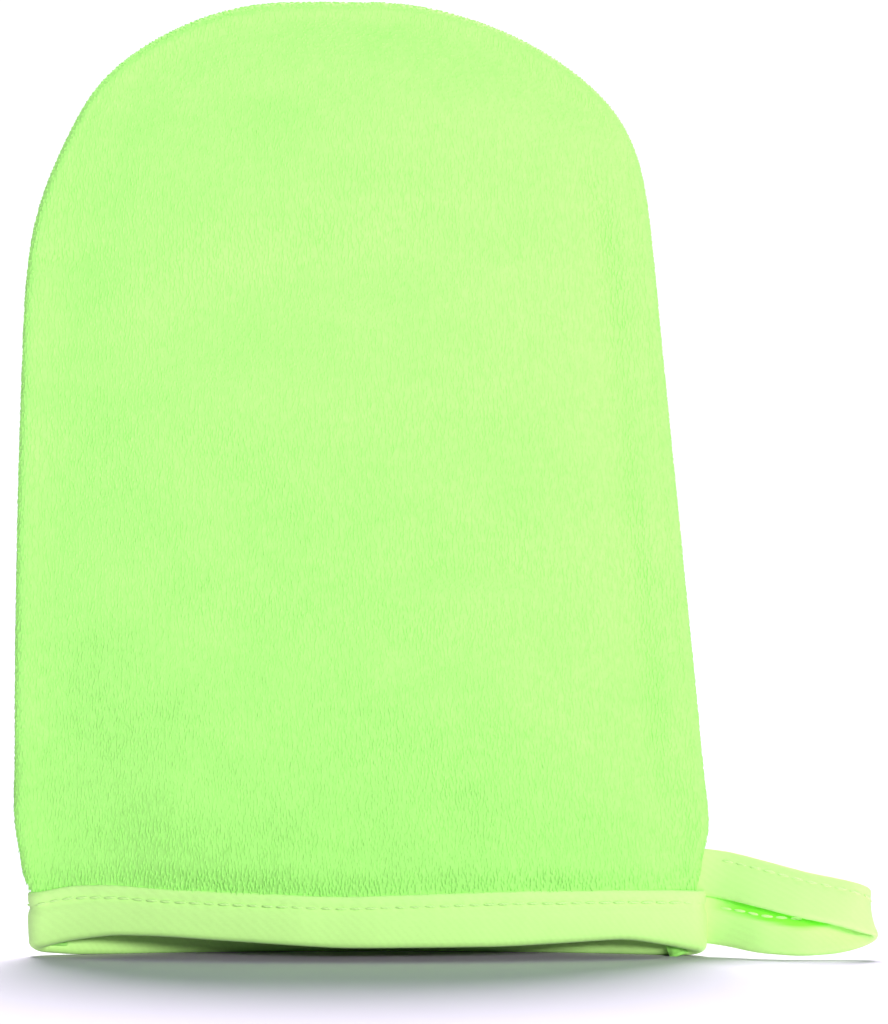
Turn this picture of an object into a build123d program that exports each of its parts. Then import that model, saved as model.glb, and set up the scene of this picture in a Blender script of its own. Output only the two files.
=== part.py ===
"""Wash mitt for pets: two plush panels sewn together, a taped cuff and a hanging loop.

The mitt stands on its cuff with its front towards -Y and its fingertips towards +Z.
The origin is the centre of the hand opening, at the height of the floor. Millimetres.
"""

import os

from build123d import *

os.makedirs("parts", exist_ok=True)

# ---- the mitt's outline, seen from the front ----
mitt_height = 210.0  # floor to the top seam
side_left = 78.4  # left seam's distance from the origin, at its widest
side_right = 74.8  # the same for the right seam, just above the cuff tape
taper_left = 3.2  # how far each side leans in by the time it reaches the shoulder
taper_right = 15.2
shoulder_cut_left = 35.4  # legs of the slanted run between side and top
shoulder_cut_right = 30.2
shoulder_radius_left = 71.0
shoulder_radius_right = 30.0
crown_radius_left = 51.0
crown_radius_right = 75.0
apex_x = -6.0
cuff_left = 73.0  # the cuff tape pulls the seams in to here
cuff_right = 72.0
cuff_bend_radius = 12.0

# ---- depth and cloth ----
cuff_depth = 33.0  # front to back, over the pile
crown_depth = 6.0  # pinched thickness at the top seam
cloth = 3.2  # one plush layer with its pile
pile_press = 1.5  # how far the cuff tape presses the pile in, each side
lining_gap = 1.0  # space left between the layers at the crown
seam_allowance = 7.0  # the layers lie face to face over this width

# ---- cuff tape ----
tape = 1.6  # thickness of one folded leg
tape_height = 14.5
bulge_height = 11.0  # the pile is back at full size this far above the tape
front_rise = 5.0  # the front hem sits this much higher than the back hem
rise_left = 63.0  # where the front hem lifts off the floor
rise_right = 62.0
rise_run = 9.0  # width of the slope up to the raised part

# ---- threads ----
stitch_height = 11.6  # height of the cuff stitching
stitch_width = 0.8
stitch_stand = 0.5  # how proud a stitch stands
stitch_pitch = 3.2
stitch_gap = 0.6
seam_thread_inset = 4.0
seam_thread_radius = 0.5
overlock_radius = 1.2
thread_start = 4.0  # the side seam starts this far above the floor

# ---- hanging loop ----
loop_reach = 111.0  # far end's distance from the origin
loop_tape = 1.9
loop_turn_radius = 5.6  # outside radius of the far turn
loop_root_radius = 1.6  # the root turns inside this radius
loop_root_x = side_right + 2.4  # the loop swings about this line, just outside the seam
loop_root_low = 2.0
loop_root_high = 23.5
loop_tape_width = 10.5
loop_lift = 0.3  # the loop hangs this far off the floor
loop_stitch_drop = 2.0  # edge stitching below the front strand's upper edge
tail_length = 5.5
tail_rounding = 0.45  # share of the tape's thickness, so that the end is nearly half round
eye_tip = 0.3  # radius of the eye's narrow end
swing_clearance = 0.4  # between the caught tails and the turning root

rib_places = [0, 0.03, 0.058, 0.08, 0.105, 0.14, 0.2, 0.3, 0.42, 0.54, 0.64, 0.73, 0.81, 0.88, 0.93, 0.96]
inner_height = mitt_height - seam_allowance
inner_depth = cuff_depth - 2 * cloth


def seam_line(inset):
    """The left and right seams as wires in the XZ plane, moved inwards by inset."""
    top = mitt_height - inset
    bend_low = tape_height
    bend_high = tape_height + bulge_height
    sides = []
    for sign, cuff, side, taper, cut, shoulder, crown in (
        (-1, cuff_left, side_left, taper_left, shoulder_cut_left, shoulder_radius_left, crown_radius_left),
        (1, cuff_right, side_right, taper_right, shoulder_cut_right, shoulder_radius_right, crown_radius_right),
    ):
        leg = cut - (2 - 2**0.5) * inset
        corner_x = side - taper - inset
        points = [
            (sign * (cuff - inset), 0),
            (sign * (cuff - inset), bend_low),
            (sign * (side - inset), bend_high),
            (sign * corner_x, top - leg),
            (sign * (corner_x - leg), top),
            (apex_x, top),
        ]
        radii = [cuff_bend_radius, cuff_bend_radius, shoulder - inset, crown - inset]
        with BuildLine(Plane.XZ) as seam:
            FilletPolyline(*points, radius=radii)
        sides.append(seam.wire())
    return sides


def depth_at(height, full_depth, thin_depth, full_height, press):
    """Front to back depth of the pillow shape at a height above the floor."""
    share = min(height / full_height, 1.0)
    depth = thin_depth + (full_depth - thin_depth) * (1 - share**2) ** 0.5
    rise = min(max((height - tape_height) / bulge_height, 0.0), 1.0)
    return depth - 2 * press * (1 - rise * rise * (3 - 2 * rise))


def pillow(inset, full_depth, thin_depth, full_height, press):
    """The mitt's form, lofted through ribs: two arcs that meet in the side seams."""
    left, right = seam_line(inset)
    with BuildPart() as form:
        for place in rib_places:
            start, end = left @ place, right @ place
            across = end - start
            depth = depth_at((start.Z + end.Z) / 2, full_depth, thin_depth, full_height, press)
            half = across.length / 2
            upright = Vector(-across.Z, 0, across.X)
            with BuildSketch(Plane(origin=(start + end) / 2, x_dir=across, z_dir=upright)):
                with BuildLine():
                    ThreePointArc((-half, 0), (0, -depth / 2), (half, 0))
                    ThreePointArc((half, 0), (0, depth / 2), (-half, 0))
                make_face()
        loft()
    return form.part


def cuff_band(left, right, depth, bottom, top):
    """A lens-shaped slab round the cuff."""
    middle = (right - left) / 2
    with BuildPart() as band:
        with BuildSketch(Plane.XY.offset(bottom)):
            with BuildLine():
                ThreePointArc((-left, 0), (middle, -depth / 2), (right, 0))
                ThreePointArc((right, 0), (middle, depth / 2), (-left, 0))
            make_face()
        extrude(amount=top - bottom)
    return band.part


def front_relief(raised):
    """What is cut away under the front hem, so that it arches over the floor."""
    low, high = raised - front_rise, raised + front_rise
    with BuildPart() as relief:
        with BuildSketch(Plane.XZ):
            with BuildLine():
                FilletPolyline(
                    (-rise_left - rise_run, low),
                    (-rise_left + rise_run, high),
                    (rise_right - rise_run, high),
                    (rise_right + rise_run, low),
                    radius=[cuff_bend_radius, cuff_bend_radius],
                )
                Line((rise_right + rise_run, low), (-rise_left - rise_run, low))
            make_face()
        extrude(amount=cuff_depth)
    return relief.part


def seam_tube(inset, radius, bottom):
    """A round thread that follows the seam from one side of the cuff to the other."""
    left, right = seam_line(inset)
    with BuildPart() as tube:
        with BuildSketch(Plane(origin=left @ 0, z_dir=left % 0)):
            Circle(radius)
        sweep(path=Wire(left.edges() + right.edges()))
        split(bisect_by=Plane.XY.offset(bottom), keep=Keep.TOP)
    return tube.part


# ---- whole forms that the pieces are cut from ----
outer_form = pillow(0, cuff_depth, crown_depth, mitt_height, pile_press)
hand_space = pillow(seam_allowance, inner_depth, lining_gap, inner_height, 0)
front_side = Plane.XZ  # its normal points to the front, -Y

thread_form = seam_tube(seam_thread_inset, seam_thread_radius, thread_start)
overlock_form = seam_tube(seam_allowance, overlock_radius, tape_height)

tail_end = loop_root_x - loop_root_radius - swing_clearance
with BuildPart() as tail_form:
    with BuildSketch(Plane.XZ.offset(-loop_tape / 2)):
        with Locations((tail_end, loop_root_low)):
            Rectangle(tail_length, loop_tape_width, align=(Align.MAX, Align.MIN))
        with Locations((tail_end, loop_root_high)):
            Rectangle(tail_length, loop_tape_width, align=(Align.MAX, Align.MAX))
    extrude(amount=loop_tape)
    outer_edges = tail_form.edges().filter_by(Axis.Z).group_by(Axis.X)[-1]
    fillet(outer_edges, radius=tail_rounding * loop_tape)

# ---- front panel ----
with BuildPart() as front_panel:
    add(outer_form)
    add(hand_space, mode=Mode.SUBTRACT)
    split(bisect_by=front_side, keep=Keep.TOP)
    add(front_relief(tape), mode=Mode.SUBTRACT)
    split(bisect_by=Plane.XY.offset(tape), keep=Keep.TOP)
    for inlay in (thread_form, overlock_form, tail_form.part):
        add(inlay, mode=Mode.SUBTRACT)
front_panel.part.label = "front_panel"

# ---- back panel ----
with BuildPart() as back_panel:
    add(outer_form)
    add(hand_space, mode=Mode.SUBTRACT)
    split(bisect_by=front_side, keep=Keep.BOTTOM)
    split(bisect_by=Plane.XY.offset(tape), keep=Keep.TOP)
    for inlay in (thread_form, overlock_form, tail_form.part):
        add(inlay, mode=Mode.SUBTRACT)
back_panel.part.label = "back_panel"

# ---- cuff tape: one folded strip round the raw edge ----
pressed_depth = cuff_depth - 2 * pile_press
tape_outside = (cuff_left + tape, cuff_right + tape, pressed_depth + 2 * tape)
tape_inside = (cuff_left - seam_allowance - tape, cuff_right - seam_allowance - tape, inner_depth - 2 * tape)
with BuildPart() as cuff_tape:
    add(cuff_band(*tape_outside, 0, tape_height))
    add(cuff_band(*tape_inside, 0, tape_height), mode=Mode.SUBTRACT)
    add(front_relief(0), mode=Mode.SUBTRACT)
    for filling in (front_panel.part, back_panel.part, thread_form, tail_form.part):
        add(filling, mode=Mode.SUBTRACT)
cuff_tape.part.label = "cuff_tape"

# ---- cuff stitching: needle thread outside, bobbin thread inside ----
stitch_low = stitch_height - stitch_width / 2
stitch_high = stitch_height + stitch_width / 2
stitch_count = int((cuff_left + cuff_right) / stitch_pitch)
with BuildPart() as gap_form:
    with Locations(((cuff_right - cuff_left) / 2, 0, stitch_height)):
        with GridLocations(stitch_pitch, 1, stitch_count, 1):
            Box(stitch_gap, 2 * cuff_depth, 2 * stitch_width)
    with Locations((cuff_right, 0, stitch_height)):
        Box(2 * seam_allowance, loop_tape, 2 * stitch_width)

proud = stitch_stand
with BuildPart() as needle_thread:
    left, right, depth = tape_outside
    add(cuff_band(left + proud, right + proud, depth + 2 * proud, stitch_low, stitch_high))
    add(cuff_band(left, right, depth, stitch_low, stitch_high), mode=Mode.SUBTRACT)
    add(gap_form.part, mode=Mode.SUBTRACT)
needle_thread.part.label = "cuff_needle_thread"

with BuildPart() as bobbin_thread:
    left, right, depth = tape_inside
    add(cuff_band(left, right, depth, stitch_low, stitch_high))
    add(cuff_band(left - proud, right - proud, depth - 2 * proud, stitch_low, stitch_high), mode=Mode.SUBTRACT)
    add(gap_form.part, mode=Mode.SUBTRACT)
bobbin_thread.part.label = "cuff_bobbin_thread"

# ---- side seam: lockstitch thread and the overlocked edge of its allowance ----
with BuildPart() as seam_thread:
    add(thread_form)
seam_thread.part.label = "seam_thread"

with BuildPart() as seam_overlock:
    add(overlock_form)
seam_overlock.part.label = "seam_overlock"

# ---- ends of the loop tape, caught in the right seam ----
with BuildPart() as loop_tails:
    add(tail_form.part)
    add(thread_form, mode=Mode.SUBTRACT)
loop_tails.part.label = "loop_tails"


def teardrop(near_x, near_radius, far_radius):
    """A tapered slab from the loop's root to its far turn, as seen from above."""
    with BuildPart() as slab:
        with BuildSketch():
            with Locations((near_x, 0)):
                Circle(near_radius)
            with Locations((loop_reach - loop_turn_radius, 0)):
                Circle(far_radius)
            make_hull()
        extrude(amount=loop_root_high)
    return slab.part


# ---- hanging loop: the front strand slopes down to the turn, the rear one lies low ----
turn_top = loop_lift + 14.0
turn_low = loop_lift + 4.2
rear_sag = loop_lift + 0.2
front_side_points = [
    (loop_root_x - loop_root_radius, loop_root_high),
    (loop_reach - loop_turn_radius, turn_top + 2.5),
    (loop_reach, turn_top - 1.5),
    (loop_reach, turn_low),
    (loop_root_x - loop_root_radius, loop_root_high - loop_tape_width),
]
rear_side_points = [
    (loop_root_x - loop_root_radius, loop_root_low + loop_tape_width),
    (loop_reach, turn_top - 1.5),
    (loop_reach, turn_low),
    (loop_reach - loop_turn_radius, loop_lift + 0.6),
    (loop_reach - 3 * loop_turn_radius, loop_lift),
    (loop_root_x - loop_root_radius, loop_root_low),
]
with BuildPart() as loop_height:
    for points, way in ((front_side_points, 1), (rear_side_points, -1)):
        with BuildSketch(Plane.XZ):
            with BuildLine():
                Polyline(*points, close=True)
            make_face()
        extrude(amount=way * 2 * loop_turn_radius)
eye_start = loop_root_x + 3 * loop_root_radius
loop_outside = teardrop(loop_root_x, loop_root_radius, loop_turn_radius)
loop_eye = teardrop(eye_start, eye_tip, loop_turn_radius - loop_tape)
with BuildPart() as hanging_loop:
    add(loop_outside)
    add(loop_eye, mode=Mode.SUBTRACT)
    add(loop_height.part, mode=Mode.INTERSECT)
hanging_loop.part.label = "hanging_loop"

# ---- edge stitching that closes the folded loop tape, along the front strand ----
stitch_run = loop_reach - 2 * loop_turn_radius - eye_start
with BuildPart() as loop_thread:
    add(teardrop(loop_root_x, loop_root_radius + stitch_stand, loop_turn_radius + stitch_stand))
    add(loop_outside, mode=Mode.SUBTRACT)
    with BuildSketch(Plane.XZ):
        with BuildLine():
            edge = Line(front_side_points[0], front_side_points[1], mode=Mode.PRIVATE)
        first = (edge @ 0).X
        for number in range(int(stitch_run / stitch_pitch)):
            along = (eye_start - first + number * stitch_pitch) / edge.length
            spot = edge @ along - Vector(0, loop_stitch_drop, 0)
            with Locations(Location((spot.X, spot.Y), edge.tangent_angle_at(0))):
                Rectangle(stitch_pitch - stitch_gap, stitch_width)
    extrude(amount=2 * loop_turn_radius, mode=Mode.INTERSECT)
loop_thread.part.label = "loop_thread"

for piece in (
    front_panel,
    back_panel,
    cuff_tape,
    needle_thread,
    bobbin_thread,
    seam_thread,
    seam_overlock,
    loop_tails,
    hanging_loop,
    loop_thread,
):
    export_step(piece.part, f"parts/{piece.part.label}.step")
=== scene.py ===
"""A plush wash mitt with a taped cuff and a hanging loop, dressed round its CAD frame."""

import math

import bpy
import numpy as np
from bpy.props import FloatProperty, FloatVectorProperty, IntProperty, PointerProperty
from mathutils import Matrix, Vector
from mathutils.bvhtree import BVHTree


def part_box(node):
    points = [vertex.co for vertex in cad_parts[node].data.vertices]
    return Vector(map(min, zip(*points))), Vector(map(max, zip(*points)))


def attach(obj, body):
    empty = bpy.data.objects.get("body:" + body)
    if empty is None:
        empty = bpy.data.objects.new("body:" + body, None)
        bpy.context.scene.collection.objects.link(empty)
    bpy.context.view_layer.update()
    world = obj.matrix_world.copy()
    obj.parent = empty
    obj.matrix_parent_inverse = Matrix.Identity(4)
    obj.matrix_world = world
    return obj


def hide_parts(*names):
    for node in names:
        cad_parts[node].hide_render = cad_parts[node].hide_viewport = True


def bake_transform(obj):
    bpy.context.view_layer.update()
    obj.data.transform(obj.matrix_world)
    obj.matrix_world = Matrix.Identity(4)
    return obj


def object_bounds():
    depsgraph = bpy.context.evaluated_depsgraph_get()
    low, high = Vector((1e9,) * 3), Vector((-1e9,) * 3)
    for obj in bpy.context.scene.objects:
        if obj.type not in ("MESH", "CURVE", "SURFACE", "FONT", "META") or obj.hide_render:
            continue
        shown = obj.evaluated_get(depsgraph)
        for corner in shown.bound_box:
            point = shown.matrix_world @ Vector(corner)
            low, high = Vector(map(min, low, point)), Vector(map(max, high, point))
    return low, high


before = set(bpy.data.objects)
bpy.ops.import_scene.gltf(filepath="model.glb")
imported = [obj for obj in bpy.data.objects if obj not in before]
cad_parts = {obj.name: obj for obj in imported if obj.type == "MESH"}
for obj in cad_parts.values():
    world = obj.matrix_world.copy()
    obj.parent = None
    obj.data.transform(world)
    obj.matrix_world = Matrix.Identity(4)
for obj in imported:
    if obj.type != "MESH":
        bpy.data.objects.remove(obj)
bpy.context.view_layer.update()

bl_info = {
    "name": "Plush wash mitt",
    "version": (1, 0, 0),
    "blender": (4, 5, 0),
    "location": "View3D > Sidebar > Wash mitt",
    "description": "Dresses the CAD frame of a plush wash mitt in cloth, pile, tape and thread",
    "category": "Add Mesh",
}

mm = 0.001
panel_low, panel_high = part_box("back_panel")
tape_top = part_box("cuff_tape")[1].z
loop_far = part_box("hanging_loop")[1].x
tails_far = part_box("loop_tails")[1].x
whole_low, whole_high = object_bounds()


# ---- sizes and colours that a user would change ----
def length(name, default, description):
    """A size in metres with its name and description."""
    return FloatProperty(
        name=name, description=description, default=default, min=0, unit="LENGTH", precision=5
    )


def tint(name, default, description):
    """A colour, in linear light."""
    return FloatVectorProperty(
        name=name, description=description, default=default, min=0, max=1, subtype="COLOR"
    )


class MittSizes(bpy.types.PropertyGroup):
    """Sizes of the mitt's cloth, tape and threads"""

    cloth: length("Cloth", 2.0 * mm, "Thickness of a plush panel without its pile")
    edge_roll: length("Edge roll", 2.6 * mm, "Radius of each panel's turn into the side seam")
    cuff_roll: length("Cuff roll", 1.8 * mm, "The same radius where the cuff tape presses it")
    allowance: length("Seam allowance", 7 * mm, "Width of cloth inside the side seam")
    bulge: length("Bulge", 1.3 * mm, "How far the pile swells out above the cuff tape")
    grid: length("Grid", 1.25 * mm, "Size of a panel's mesh faces")
    tuft_spacing: length("Tuft spacing", 0.72 * mm, "Least distance between two tufts of pile")
    tuft_length: length("Tuft length", 1.2 * mm, "Length of a tuft of pile")
    tuft_width: length("Tuft width", 0.5 * mm, "Radius of a tuft's foot")
    tuft_lean: FloatProperty(
        name="Tuft lean", description="How much more a tuft lies down than it stands", default=6.5
    )
    tape_leg: length("Tape leg", 1.2 * mm, "Thickness of one leg of the cuff tape")
    stitch_drop: length("Stitch drop", 2.7 * mm, "Cuff stitching below the tape's upper edge")
    stitch_pitch: length("Stitch pitch", 3.2 * mm, "Distance from one stitch to the next")
    stitch_length: length("Stitch length", 2.7 * mm, "Length of a stitch")
    thread: length("Thread", 0.36 * mm, "Half the width of the sewing thread")
    loop_width: length("Loop width", 10.5 * mm, "Width of the folded loop tape")
    loop_leg: length("Loop leg", 0.85 * mm, "Thickness of each of the loop tape's layers")
    seed: IntProperty(name="Seed", description="Seed of the pile and the stitches", default=11)


class MittColours(bpy.types.PropertyGroup):
    """Colours of the mitt and of the floor that it stands on"""

    plush: tint("Plush", (0.415, 0.93, 0.2), "The panels and their pile")
    backing: tint("Backing", (0.34, 0.82, 0.15), "The knitted back of the plush, inside the mitt")
    tape: tint("Tape", (0.59, 0.98, 0.295), "The cuff tape and the loop")
    thread: tint("Thread", (0.61, 0.98, 0.315), "The sewing threads")
    floor: tint("Floor", (0.68, 0.615, 0.72), "The floor")


# ---- node trees ----
class Outlet:
    """An output socket that takes part in sums: each operation adds its Math node."""

    def __init__(self, graph, socket):
        self.graph = graph
        self.socket = socket

    def other(self, name):
        return Outlet(self.graph, self.socket.node.outputs[name])

    def math(self, operation, *values):
        return self.graph.add("ShaderNodeMath", {"operation": operation}, dict(enumerate(values)))

    def __add__(self, other):
        return self.math("ADD", self, other)

    def __sub__(self, other):
        return self.math("SUBTRACT", self, other)

    def __rsub__(self, other):
        return self.math("SUBTRACT", other, self)

    def __mul__(self, other):
        return self.math("MULTIPLY", self, other)

    __radd__ = __add__
    __rmul__ = __mul__


class Graph:
    """A node tree that is being built."""

    def __init__(self, tree):
        self.tree = tree
        tree.nodes.clear()

    def add(self, kind, settings=None, values=None, out=0):
        """A node with its settings, then the values or links of its sockets; gives one outlet."""
        node = self.tree.nodes.new(kind)
        for name, setting in (settings or {}).items():
            setattr(node, name, setting)
        for name, value in (values or {}).items():
            if isinstance(value, Outlet):
                self.tree.links.new(value.socket, node.inputs[name])
            else:
                node.inputs[name].default_value = value
        return Outlet(self, node.outputs[out]) if node.outputs else node

    def vector_math(self, operation, *values):
        """Vector Math on colours or vectors; a SCALE's factor is its last value."""
        places = dict(enumerate(values))
        if operation == "SCALE":
            places = {0: values[0], "Scale": values[1]}
        return self.add("ShaderNodeVectorMath", {"operation": operation}, places)

    def vector(self, **parts):
        """A vector from its parts, X, Y and Z; a part that isn't given is nothing."""
        return self.add("ShaderNodeCombineXYZ", {}, parts)

    def random(self, low, high, seed):
        """A seeded random number for each point, or a vector where low and high are vectors."""
        kind, first, out = ("FLOAT_VECTOR", 0, 0) if isinstance(low, tuple) else ("FLOAT", 2, 1)
        values = {first: low, first + 1: high, "Seed": seed}
        return self.add("FunctionNodeRandomValue", {"data_type": kind}, values, out)


class Finish(Graph):
    """A Principled material that is being built."""

    def __init__(self, name):
        self.material = bpy.data.materials.new(name)
        self.material.use_nodes = True
        super().__init__(self.material.node_tree)

    def object_place(self, scale=(1, 1, 1)):
        """Object coordinates, in metres, stretched by scale."""
        place = self.add("ShaderNodeTexCoord", out="Object")
        return self.add("ShaderNodeMapping", {}, {"Vector": place, "Scale": scale})

    def noise(self, place, scale, detail=2.0, roughness=0.5):
        """Values about 0.5 that vary over 1 / scale metres."""
        values = {"Vector": place, "Scale": scale, "Detail": detail, "Roughness": roughness}
        return self.add("ShaderNodeTexNoise", {}, values)

    def bands(self, direction, scale, distortion, detail=2.0):
        """Bands across object space, 0 to 1 high."""
        values = {
            "Vector": self.object_place(),
            "Scale": scale,
            "Distortion": distortion,
            "Detail": detail,
        }
        kind = {"wave_type": "BANDS", "bands_direction": direction}
        return self.add("ShaderNodeTexWave", kind, values, 1)

    def bump(self, strength, distance, height):
        """The surface's way, roughened by a height."""
        values = {"Strength": strength, "Distance": distance, "Height": height}
        return self.add("ShaderNodeBump", {}, values)

    def close(self, constants, **values):
        """The Principled shader with its constants and its varying values, on the output."""
        names = {"base": "Base Color", "roughness": "Roughness", "normal": "Normal"}
        sockets = {names[name]: value for name, value in values.items()}
        shader = self.add("ShaderNodeBsdfPrincipled", {}, {**constants, **sockets})
        self.add("ShaderNodeOutputMaterial", {}, {"Surface": shader})
        return self.material


def plush_finish(name, colour, streak, ribs):
    """Short pile with soft vertical streaks and a faint mottle; ribs is the backing's knit."""
    f = Finish(name)
    streaks = f.noise(f.object_place((1, 1, 0.62)), 900, 1.0)
    tufts = f.noise(f.object_place((1, 1, 0.8)), 2100, 0.0)
    mottle = f.noise(f.object_place((1, 1, 1.4)), 55, 3.0, 0.6)
    clouds = f.noise(f.object_place((1, 1, 1.2)), 13, 1.0)
    shade = 1 + (streaks - 0.5) * streak + (mottle - 0.5) * 0.22 + (clouds - 0.5) * 0.12
    base = f.vector_math("SCALE", tuple(colour), shade)
    height = streaks * 0.6 + tufts * 0.4
    if ribs:
        rows = f.bands("X", 1 / (2 * math.pi * ribs), 0.4)
        height = height * 0.4 + rows * 0.6
    bump = f.bump(0.35, 0.5 * mm, height)
    rough = 0.9 - streaks * 0.12
    constants = {"Sheen Weight": 0.08, "Sheen Roughness": 0.5, "Specular IOR Level": 0.1}
    return f.close(constants, base=base, roughness=rough, normal=bump)


def tape_finish(name, colour):
    """A close plain weave, with painted shade in a darker, deeper green where the fold attribute
    marks the tape tucked into its own fold.
    """
    f = Finish(name)
    across = f.bands("DIAGONAL", 320, 0.6, 1.0)
    fibres = f.noise(f.object_place((1, 1, 2.2)), 1500, 1.0)
    patches = f.noise(f.object_place(), 110, 2.0)
    shade = 1 + (across - 0.5) * 0.02 + (fibres - 0.5) * 0.06 + (patches - 0.5) * 0.07
    # Painted shade: the fold attribute mixes in a darker, deeper green where the loop's rear
    # strand lies in the shadow of its front strand.
    fold = f.add("ShaderNodeAttribute", {"attribute_name": "fold"}, out="Fac")
    painted_shade_colour = tuple(part**3 for part in colour)
    colours = {"Factor": fold, 6: (*colour, 1.0), 7: (*painted_shade_colour, 1.0)}
    tone = f.add("ShaderNodeMix", {"data_type": "RGBA"}, colours, 2)
    base = f.vector_math("SCALE", tone, shade)
    height = across * 0.5 + fibres * 0.5
    bump = f.bump(0.16, 0.25 * mm, height)
    constants = {"Sheen Weight": 0.15, "Sheen Roughness": 0.5, "Specular IOR Level": 0.2}
    return f.close(constants, base=base, roughness=0.8 - fibres * 0.15, normal=bump)


def thread_finish(name, colour):
    """Twisted polyester thread."""
    f = Finish(name)
    twist = f.bands("DIAGONAL", 700, 1.0)
    base = f.vector_math("SCALE", tuple(colour), 0.94 + twist * 0.08)
    bump = f.bump(0.3, 0.1 * mm, twist)
    constants = {"Sheen Weight": 0.1, "Specular IOR Level": 0.4}
    return f.close(constants, base=base, roughness=0.6 - twist * 0.1, normal=bump)


finishes = {}  # the frame's own materials have the slots' names, so these are kept here


def finish(name):
    """One of the mitt's materials, made the first time it is asked for."""
    if name not in finishes:
        finishes[name] = new_finish(name, bpy.context.scene.mitt_colours)
    return finishes[name]


def new_finish(name, colours):
    """A new material for the plush, its backing, the tape or the thread."""
    makers = {
        "plush": lambda: plush_finish("short pile", colours.plush, 0.22, None),
        "backing": lambda: plush_finish("knitted backing", colours.backing, 0.08, 0.9 * mm),
        "tape": lambda: tape_finish("woven tape", colours.tape),
        "thread": lambda: thread_finish("sewing thread", colours.thread),
    }
    return makers[name]()


# ---- measuring and mesh tools ----
def smoothstep(value, low, high):
    t = np.clip((np.asarray(value, float) - low) / (high - low), 0, 1)
    return t * t * (3 - 2 * t)


def hill(value, middle, width):
    """1 at the middle, falling smoothly to nothing over about twice the width."""
    return np.exp(-(((np.asarray(value, float) - middle) / width) ** 2))


def along(points):
    """How far along a polyline each of its points is."""
    steps = np.linalg.norm(np.diff(points, axis=0), axis=1)
    return np.concatenate([[0], np.cumsum(steps)])


def unit(vectors):
    """The same directions, each 1 long."""
    return vectors / np.linalg.norm(vectors, axis=-1, keepdims=True)


def respaced(points, places):
    """Points of a polyline at the given distances along it."""
    far = along(points)
    return np.stack([np.interp(places, far, column) for column in points.T], axis=1)


def softened(points, reach, rounds=3):
    """The polyline with its corners averaged away; the ends stay."""
    for _ in range(rounds):
        before = 2 * points[:1] - points[reach:0:-1]
        after = 2 * points[-1:] - points[-2 : -reach - 2 : -1]
        padded = np.concatenate([before, points, after])
        kernel = np.ones(2 * reach + 1) / (2 * reach + 1)
        points = np.stack([np.convolve(column, kernel, "valid") for column in padded.T], axis=1)
    return points


def blurred(field, rounds):
    """A grid of numbers with each evened out with its neighbours."""
    for _ in range(rounds):
        f = np.pad(field, 1, mode="edge")
        field = (f[1:-1, 1:-1] * 2 + f[:-2, 1:-1] + f[2:, 1:-1] + f[1:-1, :-2] + f[1:-1, 2:]) / 6
    return field


def cad_tree(node):
    """A CAD node's surface, for casting rays at."""
    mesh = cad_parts[node].data
    return BVHTree.FromPolygons(
        [v.co for v in mesh.vertices], [tuple(p.vertices) for p in mesh.polygons]
    )


def rear_depth(tree, x, z):
    """How far back a surface lies at a place, and 0 where it doesn't reach."""
    spot = tree.ray_cast(Vector((x, 0.2, z)), Vector((0, -1, 0)))[0]
    return spot.y if spot is not None else 0


def new_object(name, points, faces, edges=()):
    """A mesh object at the origin, shaded smooth."""
    mesh = bpy.data.meshes.new(name)
    mesh.from_pydata([tuple(p) for p in points], list(edges), [tuple(f) for f in faces])
    mesh.update()
    mesh.shade_smooth()
    made = bpy.data.objects.new(name, mesh)
    bpy.context.scene.collection.objects.link(made)
    return made


def grid_faces(rows, columns, closed=False):
    """Quads between neighbouring rows of a grid of points; closed joins the last column on."""
    faces = []
    for r in range(rows - 1):
        for c in range(columns if closed else columns - 1):
            d = (c + 1) % columns
            a, b = r * columns, (r + 1) * columns
            faces.append((a + c, a + d, b + d, b + c))
    return faces


def set_attribute(made, name, kind, values):
    """Writes a value or a vector for each point of the object's mesh."""
    attribute = made.data.attributes.new(name, kind, "POINT")
    key = "vector" if kind == "FLOAT_VECTOR" else "value"
    attribute.data.foreach_set(key, np.asarray(values, np.float32).ravel())


def settled(made):
    """Works the object's modifiers into a plain mesh."""
    evaluated = made.evaluated_get(bpy.context.evaluated_depsgraph_get())
    mesh = bpy.data.meshes.new_from_object(evaluated)
    made.modifiers.clear()
    made.data = mesh
    mesh.shade_smooth()


def with_nodes(made, tree, **inputs):
    """Works a node tree into the object's mesh."""
    modifier = made.modifiers.new(tree.name, "NODES")
    modifier.node_group = tree
    sockets = {s.name: s.identifier for s in tree.interface.items_tree if s.in_out == "INPUT"}
    for name, value in inputs.items():
        modifier[sockets[name.replace("_", " ")]] = value
    settled(made)


def new_tree(name, inputs):
    """A Geometry Nodes tree with its inputs; gives the graph and the inputs' outlets."""
    tree = bpy.data.node_groups.new(name, "GeometryNodeTree")
    g = Graph(tree)
    tree.interface.new_socket("Geometry", in_out="INPUT", socket_type="NodeSocketGeometry")
    for label, kind in inputs.items():
        tree.interface.new_socket(label, in_out="INPUT", socket_type="NodeSocket" + kind)
    tree.interface.new_socket("Geometry", in_out="OUTPUT", socket_type="NodeSocketGeometry")
    first = g.add("NodeGroupInput")
    return g, {label: first.other(label) for label in ["Geometry", *inputs]}


def close_tree(g, geometry, material):
    """Realize Instances, Set Material and the output."""
    real = g.add("GeometryNodeRealizeInstances", {}, {"Geometry": geometry})
    done = g.add("GeometryNodeSetMaterial", {}, {"Geometry": real, "Material": material})
    g.add("NodeGroupOutput", {}, {0: done})
    return g.tree


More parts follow.
